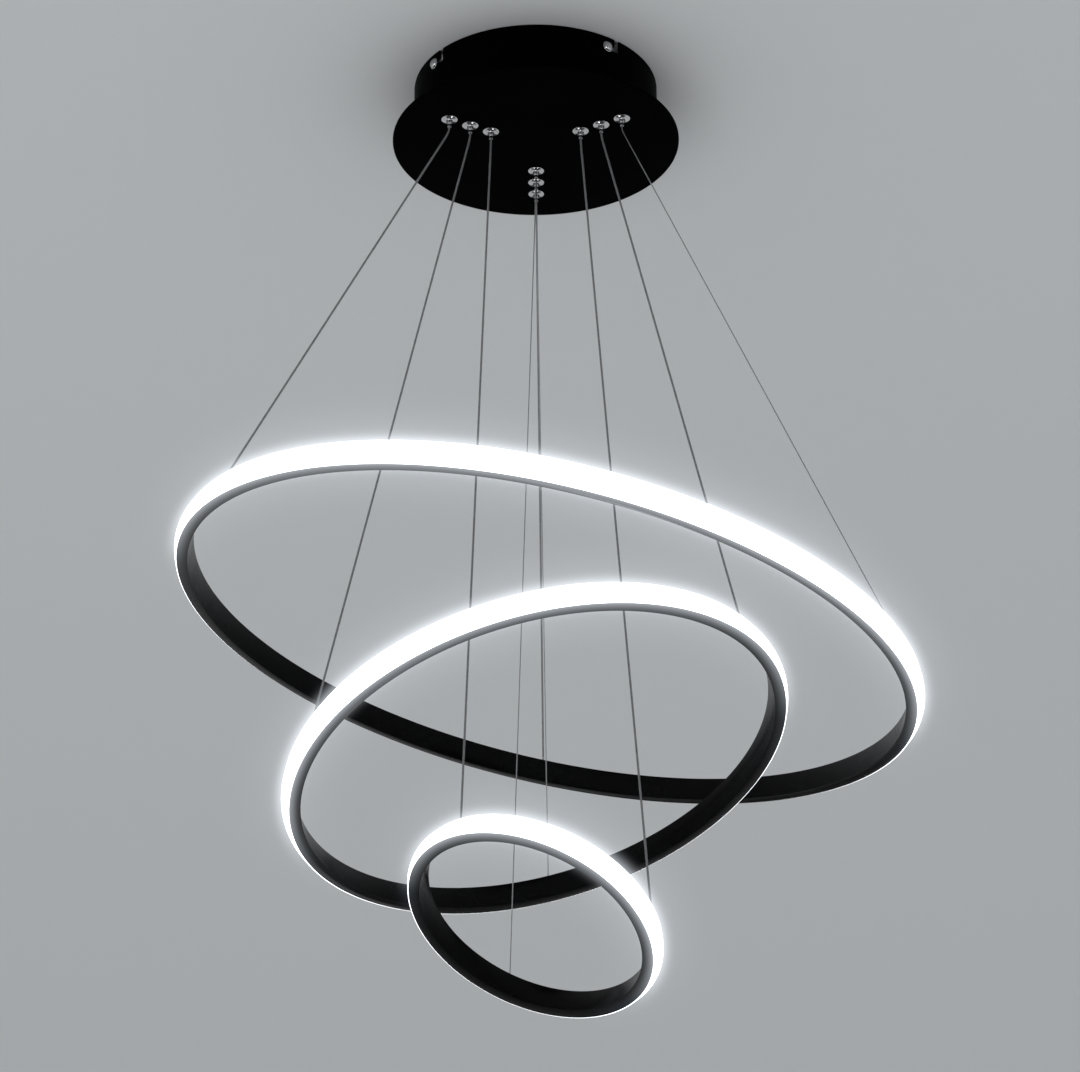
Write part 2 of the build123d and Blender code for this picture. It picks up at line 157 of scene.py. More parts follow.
class Paint:
    """A material with one Principled shader, and short ways to add its nodes."""

    def __init__(self, name, carried=False, **sockets):
        self.carried = carried
        self.material = bpy.data.materials.new(name)
        self.material.use_nodes = True
        self.tree = self.material.node_tree
        self.shader = next(n for n in self.tree.nodes if n.type == "BSDF_PRINCIPLED")
        for socket, value in sockets.items():
            self.shader.inputs[socket.replace("_", " ")].default_value = value

    def node(self, kind, **settings):
        made = self.tree.nodes.new(kind)
        for key, value in settings.items():
            if key in made.inputs:
                made.inputs[key].default_value = value
            else:
                setattr(made, key, value)
        return made

    def link(self, source, output, target, socket):
        self.tree.links.new(source.outputs[output], target.inputs[socket])

    def own_place(self):
        """The socket with each point's place in its piece's own frame, before it is mounted."""
        if self.carried:
            return self.node("ShaderNodeTexCoord").outputs["Object"]
        return self.node("ShaderNodeAttribute", attribute_name=OWN_PLACE).outputs["Vector"]

    def place(self, scale=(1, 1, 1)):
        """Own coordinates, stretched by scale."""
        mapping = self.node("ShaderNodeMapping", Scale=scale)
        self.tree.links.new(self.own_place(), mapping.inputs["Vector"])
        return mapping

    def split(self):
        """Own coordinates as three numbers."""
        split = self.node("ShaderNodeSeparateXYZ")
        self.tree.links.new(self.own_place(), split.inputs["Vector"])
        return split

    def radius(self):
        """The distance from the piece's own Z axis."""
        flat = self.node("ShaderNodeVectorMath", operation="MULTIPLY")
        flat.inputs[1].default_value = (1, 1, 0)
        length = self.node("ShaderNodeVectorMath", operation="LENGTH")
        self.tree.links.new(self.own_place(), flat.inputs[0])
        self.link(flat, "Vector", length, 0)
        return length

    def round_place(self, along, radial, upward):
        """Coordinates that run round the piece's own Z axis: turn, radius and height."""
        split = self.split()
        turn = self.node("ShaderNodeMath", operation="ARCTAN2")
        self.tree.links.new(split.outputs["Y"], turn.inputs[0])
        self.tree.links.new(split.outputs["X"], turn.inputs[1])
        join = self.node("ShaderNodeCombineXYZ")
        self.link(turn, "Value", join, "X")
        self.link(self.radius(), "Value", join, "Y")
        self.link(split, "Z", join, "Z")
        mapping = self.node("ShaderNodeMapping", Scale=(along, radial, upward))
        self.link(join, "Vector", mapping, "Vector")
        return mapping

    def noise(self, place, scale, detail=3.0, roughness=0.5):
        made = self.node("ShaderNodeTexNoise", Scale=scale, Detail=detail, Roughness=roughness)
        self.link(place, "Vector", made, "Vector")
        return made

    def vary(self, source, output, socket, low, high, start=0.3, end=0.7):
        """The source's value, spread over a range, drives one socket of the shader."""
        spread = self.node("ShaderNodeMapRange")
        limits = {"From Min": start, "From Max": end, "To Min": low, "To Max": high}
        for key, value in limits.items():
            spread.inputs[key].default_value = value
        self.link(source, output, spread, "Value")
        self.link(spread, "Result", self.shader, socket)
        return spread

    def colours(self, source, output, first, second, start=0.3, end=0.7):
        """The source's value picks a colour between two."""
        ramp = self.node("ShaderNodeValToRGB")
        ramp.color_ramp.elements[0].position = start
        ramp.color_ramp.elements[0].color = (*first, 1)
        ramp.color_ramp.elements[1].position = end
        ramp.color_ramp.elements[1].color = (*second, 1)
        self.link(source, output, ramp, "Fac")
        self.link(ramp, "Color", self.shader, "Base Color")
        return ramp

    def bump(self, source, output, height, strength=1.0, under=None):
        made = self.node("ShaderNodeBump", Strength=strength, Distance=height)
        self.link(source, output, made, "Height")
        if under is not None:
            self.link(under, "Normal", made, "Normal")
        self.link(made, "Normal", self.shader, "Normal")
        return made


def powder_coat():
    """Deep black powder coat with a fine orange peel."""
    paint = Paint("black_powder_coat", Specular_IOR_Level=0.004)
    place = paint.place()
    peel = paint.noise(place, 1400.0, detail=2.0)
    patches = paint.noise(place, 14.0, detail=4.0)
    paint.colours(patches, "Fac", (0.0004, 0.0004, 0.0005), (0.0008, 0.0008, 0.0009))
    paint.vary(patches, "Fac", "Roughness", 0.4, 0.5)
    paint.bump(peel, "Fac", 0.00006, strength=0.5)
    return paint.material


def anodised_black():
    """Black anodised extrusion: fine die lines along its length and a satin sheen."""
    paint = Paint("black_anodised_extrusion", Specular_IOR_Level=0.07)
    lines = paint.noise(paint.round_place(1.5, 2600.0, 2600.0), 1.0, detail=2.0)
    patches = paint.noise(paint.place(), 22.0, detail=3.0)
    paint.colours(patches, "Fac", (0.0012, 0.0012, 0.0014), (0.0024, 0.0025, 0.0028))
    paint.vary(patches, "Fac", "Roughness", 0.22, 0.3)
    paint.bump(lines, "Fac", 0.00002, strength=0.3)
    return paint.material


def lit_diffuser():
    """Opal diffuser, lit from inside: evenly white, a little weaker towards its two rims."""
    paint = Paint("opal_diffuser", Base_Color=(0.9, 0.92, 0.95, 1), Roughness=0.45)
    height = paint.node("ShaderNodeMath", operation="ABSOLUTE")
    paint.link(paint.split(), "Z", height, "Value")
    paint.vary(height, "Value", "Emission Strength", 2.2, 1.8, start=0.005, end=0.0095)
    grain = paint.noise(paint.place(), 260.0, detail=2.0)
    tint = paint.node("ShaderNodeValToRGB")
    tint.color_ramp.elements[0].color = (0.93, 0.965, 1.0, 1)
    tint.color_ramp.elements[1].color = (0.97, 0.985, 1.0, 1)
    paint.link(grain, "Fac", tint, "Fac")
    paint.link(tint, "Color", paint.shader, "Emission Color")
    return paint.material


def unlit_diffuser():
    """The back of the diffuser, inside the channel."""
    paint = Paint("opal_diffuser_back")
    grain = paint.noise(paint.place(), 260.0, detail=2.0)
    paint.colours(grain, "Fac", (0.78, 0.8, 0.83), (0.86, 0.88, 0.9))
    paint.vary(grain, "Fac", "Roughness", 0.4, 0.5)
    return paint.material


def chrome(name, first, second, rough_low, rough_high):
    """Plated metal with faint turning marks and a few soft smears."""
    paint = Paint(name, Metallic=1.0)
    marks = paint.noise(paint.round_place(0.6, 9000.0, 9000.0), 1.0, detail=1.0)
    smears = paint.noise(paint.place(), 420.0, detail=3.0)
    paint.colours(smears, "Fac", first, second)
    paint.vary(smears, "Fac", "Roughness", rough_low, rough_high)
    paint.bump(marks, "Fac", 0.000004, strength=0.25)
    return paint.material


def zinc_steel():
    """Dull zinc plated sheet: large soft spangles and a fine brushed grain."""
    paint = Paint("dull_zinc_steel", carried=True, Metallic=1.0)
    spangle = paint.node("ShaderNodeTexVoronoi", Scale=130.0)
    paint.link(paint.place(), "Vector", spangle, "Vector")
    paint.colours(spangle, "Distance", (0.1, 0.103, 0.106), (0.19, 0.193, 0.195), 0.1, 0.8)
    paint.vary(spangle, "Distance", "Roughness", 0.28, 0.45, 0.1, 0.8)
    grain = paint.noise(paint.place((1, 14, 1)), 220.0)
    paint.bump(grain, "Fac", 0.00003, strength=0.3)
    return paint.material


def wire_steel():
    """Drawn steel strands, slightly dull."""
    paint = Paint("drawn_steel_wire", Metallic=0.85)
    grain = paint.noise(paint.place(), 900.0)
    paint.colours(grain, "Fac", (0.34, 0.345, 0.355), (0.5, 0.51, 0.52))
    paint.vary(grain, "Fac", "Roughness", 0.3, 0.42)
    paint.bump(grain, "Fac", 0.00001, strength=0.3)
    return paint.material


def clear_jacket():
    """The smoky sheath round a current-carrying wire: its strands show through a little."""
    paint = Paint("smoky_wire_jacket", Alpha=0.62, Specular_IOR_Level=0.5)
    haze = paint.noise(paint.place(), 300.0)
    paint.colours(haze, "Fac", (0.2, 0.204, 0.21), (0.28, 0.285, 0.29))
    paint.vary(haze, "Fac", "Roughness", 0.28, 0.4)
    paint.bump(haze, "Fac", 0.00002, strength=0.3)
    return paint.material


def led_board():
    """White solder mask with a row of yellow LED chips."""
    paint = Paint("led_board_mask", carried=True)
    chips = paint.node("ShaderNodeTexVoronoi", Scale=170.0)
    paint.link(paint.place(), "Vector", chips, "Vector")
    paint.colours(chips, "Distance", (0.95, 0.78, 0.25), (0.86, 0.87, 0.86), 0.22, 0.26)
    mask = paint.noise(paint.place(), 800.0)
    paint.vary(mask, "Fac", "Roughness", 0.35, 0.48)
    paint.bump(mask, "Fac", 0.00003, strength=0.3)
    return paint.material


def circuit_board():
    """Green solder mask with darker tracks."""
    paint = Paint("green_solder_mask", carried=True)
    tracks = paint.node("ShaderNodeTexBrick", Scale=160.0, offset=0.3)
    tracks.inputs["Color1"].default_value = (0.02, 0.12, 0.05, 1)
    tracks.inputs["Color2"].default_value = (0.03, 0.17, 0.07, 1)
    tracks.inputs["Mortar"].default_value = (0.012, 0.08, 0.035, 1)
    paint.link(paint.place(), "Vector", tracks, "Vector")
    paint.link(tracks, "Color", paint.shader, "Base Color")
    mask = paint.noise(paint.place(), 500.0)
    paint.vary(mask, "Fac", "Roughness", 0.35, 0.5)
    paint.bump(tracks, "Fac", 0.00005, strength=0.4)
    return paint.material


def moulded(name, first, second, rough_low, rough_high, scale):
    """Moulded plastic or rubber with a fine grain."""
    paint = Paint(name, carried=True)
    grain = paint.noise(paint.place(), scale)
    paint.colours(grain, "Fac", first, second)
    paint.vary(grain, "Fac", "Roughness", rough_low, rough_high)
    paint.bump(grain, "Fac", 0.00004, strength=0.35)
    return paint.material


def metal(name, first, second, scale):
    """Bare metal of a small carried part, with a faint brushed grain."""
    paint = Paint(name, carried=True, Metallic=1.0)
    grain = paint.noise(paint.place((1, 8, 1)), scale)
    paint.colours(grain, "Fac", first, second)
    paint.vary(grain, "Fac", "Roughness", 0.25, 0.4)
    paint.bump(grain, "Fac", 0.00002, strength=0.3)
    return paint.material


COAT = powder_coat()
ANODISED = anodised_black()
DIFFUSER = lit_diffuser()
DIFFUSER_BACK = unlit_diffuser()
GRIP_CHROME = chrome("satin_chrome", (0.4, 0.405, 0.41), (0.58, 0.585, 0.59), 0.08, 0.16)
# The collars' chrome is a darker copy of the grips' chrome. It is painted shade, standing in for
# the dark surroundings that the collars reflect.
COLLAR_CHROME_PAINTED_SHADE = chrome("chrome_with_painted_shade", (0.16, 0.163, 0.166), (0.3, 0.303, 0.306), 0.1, 0.2)
SCREW_CHROME = chrome("polished_chrome", (0.42, 0.425, 0.43), (0.6, 0.605, 0.61), 0.06, 0.16)
ZINC = zinc_steel()
STEEL = wire_steel()
JACKET = clear_jacket()


# ------------------------------------------------------------------ mesh helpers
def rounded(outline, radius, steps=3):
    """A closed outline of (r, z) points with each corner turned into an arc."""
    made = []
    count = len(outline)
    for index, corner in enumerate(outline):
        here = Vector(corner)
        back = Vector(outline[index - 1]) - here
        ahead = Vector(outline[(index + 1) % count]) - here
        size = min(radius, 0.45 * back.length, 0.45 * ahead.length)
        half = back.angle(ahead) / 2
        reach = size / tan(half)
        if reach > 0.49 * min(back.length, ahead.length):
            reach = 0.49 * min(back.length, ahead.length)
            size = reach * tan(half)
        centre = here + (back.normalized() + ahead.normalized()).normalized() * size / sin(half)
        start = here + back.normalized() * reach - centre
        end = here + ahead.normalized() * reach - centre
        sweep = start.angle_signed(end)
        for step in range(steps + 1):
            turned = start.copy()
            turned.rotate(Matrix.Rotation(-sweep * step / steps, 2))
            made.append(tuple(centre + turned))
    return made


class Shape:
    """Vertices and faces, with each vertex's own place from before it was moved."""

    def __init__(self, vertices, faces, own=None):
        self.vertices = [Vector(v) for v in vertices]
        self.faces = faces
        self.own = own or self.vertices

    def moved(self, matrix):
        return Shape([matrix @ v for v in self.vertices], self.faces, self.own)


def merged(shapes):
    """Several shapes in one."""
    vertices, faces, own = [], [], []
    for shape in shapes:
        base = len(vertices)
        vertices += shape.vertices
        own += shape.own
        faces += [tuple(base + i for i in face) for face in shape.faces]
    return Shape(vertices, faces, own)


def lathe(outline, segments):
    """A closed outline of (r, z) points turned about Z."""
    vertices = []
    for k in range(segments):
        angle = 2 * pi * k / segments
        vertices += [(r * cos(angle), r * sin(angle), z) for r, z in outline]
    count = len(outline)
    faces = []
    for k in range(segments):
        near, far = k * count, (k + 1) % segments * count
        for i in range(count):
            j = (i + 1) % count
            faces.append((near + i, near + j, far + j, far + i))
    return Shape(vertices, faces)


def box_shape(low, high):
    """A box between two opposite corners."""
    spans = list(zip(low, high))
    corners = [(x, y, z) for x in spans[0] for y in spans[1] for z in spans[2]]
    faces = [(0, 1, 3, 2), (4, 6, 7, 5), (0, 4, 5, 1), (2, 3, 7, 6), (0, 2, 6, 4), (1, 5, 7, 3)]
    return Shape(corners, faces)


def remember_own_place(mesh, places):
    """Keeps these coordinates with the mesh, for its materials."""
    attribute = mesh.attributes.get(OWN_PLACE)
    if attribute is None:
        attribute = mesh.attributes.new(OWN_PLACE, "FLOAT_VECTOR", "POINT")
    attribute.data.foreach_set("vector", [number for place in places for number in place])


def smooth(mesh, sharp):
    """Smooth shading whose creases over the sharp angle stay crisp."""
    mesh.polygons.foreach_set("use_smooth", [True] * len(mesh.polygons))
    mesh.set_sharp_from_angle(angle=radians(sharp))


def piece(name, shape, materials, sharp=35.0, material_of=None):
    """A smooth-shaded mesh object."""
    mesh = bpy.data.meshes.new(name)
    mesh.from_pydata([tuple(v) for v in shape.vertices], [], shape.faces)
    remember_own_place(mesh, shape.own)
    for material in materials:
        mesh.materials.append(material)
    if material_of:
        mesh.polygons.foreach_set("material_index", material_of)
    bm = bmesh.new()
    bm.from_mesh(mesh)
    bmesh.ops.remove_doubles(bm, verts=bm.verts, dist=1e-7)
    bmesh.ops.recalc_face_normals(bm, faces=bm.faces)
    bm.to_mesh(mesh)
    bm.free()
    smooth(mesh, sharp)
    made = bpy.data.objects.new(name, mesh)
    bpy.context.scene.collection.objects.link(made)
    return made


def cut(target, shapes):
    """The target, still in its own frame, without the shapes' solids."""
    tool = piece("cutter", merged(shapes), [])
    modifier = target.modifiers.new("cut", "BOOLEAN")
    modifier.operation = "DIFFERENCE"
    modifier.solver = "EXACT"
    modifier.object = tool
    graph = bpy.context.evaluated_depsgraph_get()
    mesh = bpy.data.meshes.new_from_object(target.evaluated_get(graph))
    target.modifiers.clear()
    target.data = mesh
    remember_own_place(mesh, [v.co for v in mesh.vertices])
    smooth(mesh, 35)
    bpy.data.objects.remove(tool)


def tube(path, radius, sides=10, spin=0.0, pitch=None, offset=0.0, step=None):
    """A round tube along a path, or a strand that winds about it at an offset."""
    points = spread(path, step) if step else [Vector(p) for p in path]
    vertices, faces = [], []
    side = (points[1] - points[0]).orthogonal().normalized()
    travelled = 0.0
    for index, point in enumerate(points):
        before = points[max(index - 1, 0)]
        after = points[min(index + 1, len(points) - 1)]
        ahead = (after - before).normalized()
        side = (side - ahead * side.dot(ahead)).normalized()
        across = ahead.cross(side)
        travelled += (point - before).length
        centre = point
        if pitch:
            turn = spin + 2 * pi * travelled / pitch
            centre = point + (side * cos(turn) + across * sin(turn)) * offset
        for k in range(sides):
            angle = 2 * pi * k / sides
            vertices.append(centre + (side * cos(angle) + across * sin(angle)) * radius)
    for index in range(len(points) - 1):
        for k in range(sides):
            here = index * sides
            a, b = here + k, here + (k + 1) % sides
            faces.append((a, b, b + sides, a + sides))
    faces.append(tuple(reversed(range(sides))))
    last = (len(points) - 1) * sides
    faces.append(tuple(last + k for k in range(sides)))
    return Shape(vertices, faces)


def spread(path, step):
    """Points at an even step along a path."""
    path = [Vector(p) for p in path]
    lengths = [0.0]
    for a, b in zip(path, path[1:]):
        lengths.append(lengths[-1] + (b - a).length)
    count = max(2, round(lengths[-1] / step))
    made, index = [], 0
    for k in range(count + 1):
        target = lengths[-1] * k / count
        while index < len(path) - 2 and lengths[index + 1] < target:
            index += 1
        share = (target - lengths[index]) / max(lengths[index + 1] - lengths[index], 1e-12)
        made.append(path[index].lerp(path[index + 1], min(share, 1.0)))
    return made


def stands_for(made, body, slot, *nodes):
    """The piece rides on the body, in place of the nodes."""
    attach(made, body)
    if nodes:
        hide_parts(*nodes)
    return made


# ------------------------------------------------------------------ rings
class Ring:
    """One ring's own frame: its centre, its leaning axis and where its wires meet it."""

    def __init__(self, name):
        spec = RINGS[name]
        self.name = name
        self.outer = spec["diameter"] / 2
        self.inner = self.outer - PROFILE_DEPTH
        self.azimuths = {side: radians(spec[side]) for side in SIDES}
        lean, low = radians(spec["lean"]), radians(spec["low_side"])
        axis = Vector((sin(lean) * cos(low), sin(lean) * sin(low), cos(lean)))
        first = Vector((0, 1, 0)).cross(axis).normalized()
        centre = Vector((spec["side"], 0, DISC_UNDERSIDE - spec["drop"]))
        turned = Matrix((first, axis.cross(first), axis)).transposed()
        self.place = Matrix.Translation(centre) @ turned.to_4x4()

    def wire_hole(self, side):
        azimuth = self.azimuths[side]
        radius = self.outer - PROFILE_DEPTH / 2
        height = PROFILE_HEIGHT / 2 - CHANNEL_WALL / 2
        return Vector((radius * cos(azimuth), radius * sin(azimuth), height))

    def grip(self, side):
        """The middle of the wire's grip, on the disc's underside."""
        low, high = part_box(f"{self.name}_{side}_plunger")
        return Vector(((low.x + high.x) / 2, (low.y + high.y) / 2, DISC_UNDERSIDE))

    def foot(self, side):
        return self.place @ self.wire_hole(side)

    def corner(self, side):
        """Where the wire, below its plunger, turns towards the ring."""
        return self.grip(side) - Vector((0, 0, PLUNGER_REACH + WIRE_DROP_BELOW_PLUNGER))

    def bare(self, side):
        return BARE_WIRES[self.name] == side


def make_channel(ring):
    """The rolled extrusion: its walls thin out towards two narrow lips beside the diffuser."""
    half = PROFILE_HEIGHT / 2
    back = ring.inner + CHANNEL_WALL
    roof = half - CHANNEL_WALL
    lip = half - CHANNEL_LIP
    outline = rounded(
        [
            (ring.inner, -half),
            (ring.outer, -half),
            (ring.outer, -lip),
            (back, -roof),
            (back, roof),
            (ring.outer, lip),
            (ring.outer, half),
            (ring.inner, half),
        ],
        CHANNEL_FILLET,
        steps=2,
    )
    shape = lathe(outline, RING_SEGMENTS[ring.name])
    made = piece(f"{ring.name}_channel_extrusion", shape, [ANODISED])
    low, high = -CHANNEL_WALL, CHANNEL_WALL
    pin = lathe([(0.0, low), (WIRE_HOLE_RADIUS, low), (WIRE_HOLE_RADIUS, high), (0.0, high)], 20)
    cut(made, [pin.moved(Matrix.Translation(ring.wire_hole(side))) for side in SIDES])
    made.data.transform(ring.place)
    stands_for(made, f"{ring.name}_ring", "ring_black", f"{ring.name}_channel")


def diffuser_outline():
    """The cover's outer side as (reach beyond the channel, height).

    It stands a little proud of the lips, and has two straight flanks and a round crown.
    """
    edge = PROFILE_HEIGHT / 2 - CHANNEL_LIP - FIT_GAP
    corner = edge - DIFFUSER_RIM_EDGE
    slope = DIFFUSER_FLANK_SLOPE
    round_half = 2 * (slope * corner + DIFFUSER_RIM_STEP - DIFFUSER_CROWN) / slope
    upper = [
        (0.0, edge),
        (0.8 * DIFFUSER_RIM_STEP, edge - 0.3 * DIFFUSER_RIM_EDGE),
        (DIFFUSER_RIM_STEP, corner),
    ]
    crown = []
    for k in range(13):
        height = round_half * (k / 6 - 1)
        crown.append((DIFFUSER_CROWN - slope * height**2 / (2 * round_half), height))
    return [(reach, -height) for reach, height in upper] + crown + upper[::-1]


def make_diffuser(ring):
    """The crowned opal cover: lit on its outer side only."""
    outside = [(ring.outer + reach, height) for reach, height in diffuser_outline()]
    inside = [(r - DIFFUSER_THICKNESS, z * DIFFUSER_INSIDE_SHARE) for r, z in reversed(outside)]
    segments = RING_SEGMENTS[ring.name]
    lit = len(outside) - 1
    marks = [0 if i < lit else 1 for i in range(len(outside) + len(inside))] * segments
    shape = lathe(outside + inside, segments)
    materials = [DIFFUSER, DIFFUSER_BACK]
    made = piece(f"{ring.name}_diffuser_band", shape, materials, material_of=marks)
    made.data.transform(ring.place)
    stands_for(made, f"{ring.name}_ring", "diffuser_white", f"{ring.name}_diffuser")


# ------------------------------------------------------------------ wires
def smooth_route(points):
    """Points on the NURBS line that has the route's points as its control points."""
    curve = bpy.data.curves.new("route", "CURVE")
    curve.dimensions = "3D"
    spline = curve.splines.new("NURBS")
    spline.points.add(len(points) - 1)
    for target, point in zip(spline.points, points):
        target.co = (*point, 1)
    spline.order_u = 3
    spline.use_endpoint_u = True
    spline.resolution_u = 24
    holder = bpy.data.objects.new("route", curve)
    bpy.context.scene.collection.objects.link(holder)
    mesh = bpy.data.meshes.new_from_object(holder)
    line = [v.co.copy() for v in mesh.vertices]
    bpy.data.objects.remove(holder)
    bpy.data.meshes.remove(mesh)
    bpy.data.curves.remove(curve)
    if (line[0] - Vector(points[0])).length > (line[-1] - Vector(points[0])).length:
        line.reverse()
    return line


def wire_parts(line, bare):
    """The solids of one stretch of wire: three twisted strands, and a clear sheath on most."""
    core = BARE_RADIUS if bare else JACKET_CORE_SHARE * JACKET_RADIUS
    strand = core * STRAND_SHARE
    step = STRAND_PITCH / STRAND_STEPS
    parts = []
    for k in range(3):
        spin = 2 * pi * k / 3
        parts.append(tube(line, strand, 6, spin, STRAND_PITCH, core - strand, step))
    if not bare:
        parts.append(tube(line, JACKET_RADIUS, 14, step=JACKET_STEP))
    return parts


def wire_piece(name, line, bare):
    """One stretch of wire; its fourth part, where there is one, is the sheath."""
    parts = wire_parts(line, bare)
    materials = [STEEL] if bare else [STEEL, JACKET]
    marks = []
    for index, part in enumerate(parts):
        marks += [1 if index == 3 else 0] * len(part.faces)
    return piece(name, merged(parts), materials, material_of=marks, sharp=60)


def split_line(line, share):
    """One line as two, cut at a share of its length."""
    lengths = [0.0]
    for a, b in zip(line, line[1:]):
        lengths.append(lengths[-1] + (b - a).length)
    target = share * lengths[-1]
    index = max(i for i, length in enumerate(lengths) if length < target)
    part = (target - lengths[index]) / (lengths[index + 1] - lengths[index])
    middle = line[index].lerp(line[index + 1], part)
    return line[: index + 1] + [middle], [middle] + line[index + 1:]


def make_wire(ring, side):
    """A wire from its grip to its ring."""
    grip = ring.grip(side)
    top = grip + Vector((0, 0, BARREL_LENGTH))
    tip = grip - Vector((0, 0, PLUNGER_REACH))
    corner = ring.corner(side)
    foot = ring.foot(side)
    upward = (corner - foot).normalized()
    end = foot + upward * WIRE_END_ABOVE
    after = corner - upward * (BARE_BEND if ring.bare(side) else JACKETED_BEND)
    line = smooth_route([top, tip, corner, after, end])
    slot = "bare_wire" if ring.bare(side) else "jacketed_wire"
    name = f"{ring.name}_{side}_wire"
    if side != "rear":
        made = wire_piece(f"{name}_strand", line, ring.bare(side))
        stands_for(made, "canopy", slot, name)
        shorten(made)
        return
    upper, lower = split_line(line, REAR_SPLIT)
    first = wire_piece(f"{name}_upper_strand", upper, ring.bare(side))
    stands_for(first, "canopy", slot, name)
    shorten(first)
    second = wire_piece(f"{name}_lower_strand", lower, ring.bare(side))
    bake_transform(second)
    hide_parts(name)


def shorten(made):
    """Gives the piece a mesh of its own."""
    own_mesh(made)


def make_wire_ends(ring, sides, node, body):
    """The last stretch of wire through its hole, and the stop crimped on it."""
    parts = []
    for side in sides:
        foot = ring.foot(side)
        upward = (ring.corner(side) - foot).normalized()
        top = foot + upward * (WIRE_END_ABOVE + WIRE_END_OVERLAP)
        low = foot - upward * WIRE_END_BELOW
        radius = BARE_RADIUS if ring.bare(side) else JACKET_RADIUS
        parts.append(tube([low, top], radius * 0.97, 12))
        half = WIRE_STOP_WIDTH / 2
        roof = -(CHANNEL_WALL / 2 + WIRE_STOP_GAP)
        stop = box_shape((-half, -half, roof - WIRE_STOP_HEIGHT), (half, half, roof))
        spin = Matrix.Rotation(ring.azimuths[side], 4, "Z")
        parts.append(stop.moved(ring.place @ Matrix.Translation(ring.wire_hole(side)) @ spin))
    made = piece(f"{node}_crimped", merged(parts), [STEEL])
    bevel = made.modifiers.new("bevel", "BEVEL")
    bevel.width = WIRE_STOP_BEVEL
    bevel.segments = 2
    stands_for(made, body, "splice_steel", node)


# ------------------------------------------------------------------ canopy
def make_disc():
    """The lower plate, with a softened edge."""
    outline = rounded(
        [
            (0.0, DISC_UNDERSIDE),
            (DISC_RADIUS, DISC_UNDERSIDE),
            (DISC_RADIUS, DISC_TOP),
            (0.0, DISC_TOP),
        ],
        DISC_FILLET,
        steps=4,
    )
    rim = [point for point in outline if point[0] > DISC_RADIUS / 2]
    outline = [(0.0, DISC_UNDERSIDE)] + rim + [(0.0, DISC_TOP)]
    made = piece("canopy_disc_plate", lathe(outline, CANOPY_SEGMENTS), [COAT])
    stands_for(made, "canopy", "canopy_black", "canopy_disc")


def make_drum():
    """The drum, open at the top, with four slots that hook on the side screws."""
    inner = DRUM_RADIUS - DRUM_WALL
    edge = inner - DRUM_LIP
    outline = rounded(
        [
            (DRUM_RADIUS, 0.0),
            (DRUM_RADIUS, -DRUM_HEIGHT),
            (edge, -DRUM_HEIGHT),
            (edge, -DRUM_HEIGHT + DRUM_WALL),
            (inner, -DRUM_HEIGHT + DRUM_WALL),
            (inner, 0.0),
        ],
        DRUM_FILLET,
        steps=3,
    )
    made = piece("canopy_drum_wall", lathe(outline, CANOPY_SEGMENTS), [COAT])
    cutters = []
    half = BAYONET_SLOT_WIDTH / 2
    depth = 8 * DRUM_WALL
    run = radians(BAYONET_TURN) * DRUM_RADIUS / 2
    for azimuth in SCREW_AZIMUTHS:
        middle = Matrix.Rotation(radians(azimuth + BAYONET_TURN / 2), 4, "Z")
        out = Matrix.Translation((DRUM_RADIUS, 0, -SCREW_DEPTH))
        profile = []
        for start, middle_y in ((pi / 2, run), (-pi / 2, -run)):
            for k in range(13):
                angle = start - pi * k / 12
                profile.append((middle_y + half * cos(angle), half * sin(angle)))
        count = len(profile)
        vertices = [(x, y, z) for x in (-depth, depth) for y, z in profile]
        faces = [tuple(range(count)), tuple(reversed(range(count, 2 * count)))]
        for i in range(count):
            j = (i + 1) % count
            faces.append((i, i + count, j + count, j))
        cutters.append(Shape(vertices, faces).moved(middle @ out))
        entry = Matrix.Rotation(radians(azimuth + BAYONET_TURN), 4, "Z")
        low, high = (-depth, -half, 0), (depth, half, SCREW_DEPTH + BAYONET_ENTRY_OVERRUN)
        cutters.append(box_shape(low, high).moved(entry @ out))
    for cutter in cutters:
        cut(made, [cutter])
    stands_for(made, "canopy", "canopy_black", "canopy_drum")


def make_side_screws():
    """Chrome cap screws: a thin flange, a domed head, and the shank."""
    seat = DRUM_RADIUS + FIT_GAP
    end = seat - SCREW_SHANK_LENGTH
    face = seat + SCREW_FLANGE_HEIGHT
    edge = SCREW_FLANGE_EDGE
    outline = [
        (0.0, end),
        (SCREW_RADIUS, end),
        (SCREW_RADIUS, seat),
        (SCREW_HEAD_RADIUS - edge, seat),
        (SCREW_HEAD_RADIUS, seat + edge),
        (SCREW_HEAD_RADIUS, face - edge),
        (SCREW_HEAD_RADIUS - edge, face),
    ]
    dome = SCREW_HEAD_RADIUS - SCREW_DOME_INSET
    for k in range(10):
        angle = pi / 2 * k / 9
        outline.append((dome * cos(angle), face + SCREW_DOME_HEIGHT * sin(angle)))
    parts = []
    for azimuth in SCREW_AZIMUTHS:
        place = (
            Matrix.Rotation(radians(azimuth), 4, "Z")
            @ Matrix.Translation((0, 0, -SCREW_DEPTH))
            @ Matrix.Rotation(pi / 2, 4, "Y")
        )
        parts.append(lathe(outline, 48).moved(place))
    made = piece("side_cap_screws", merged(parts), [SCREW_CHROME], sharp=28)
    stands_for(made, "bracket", "chrome", "side_screws")


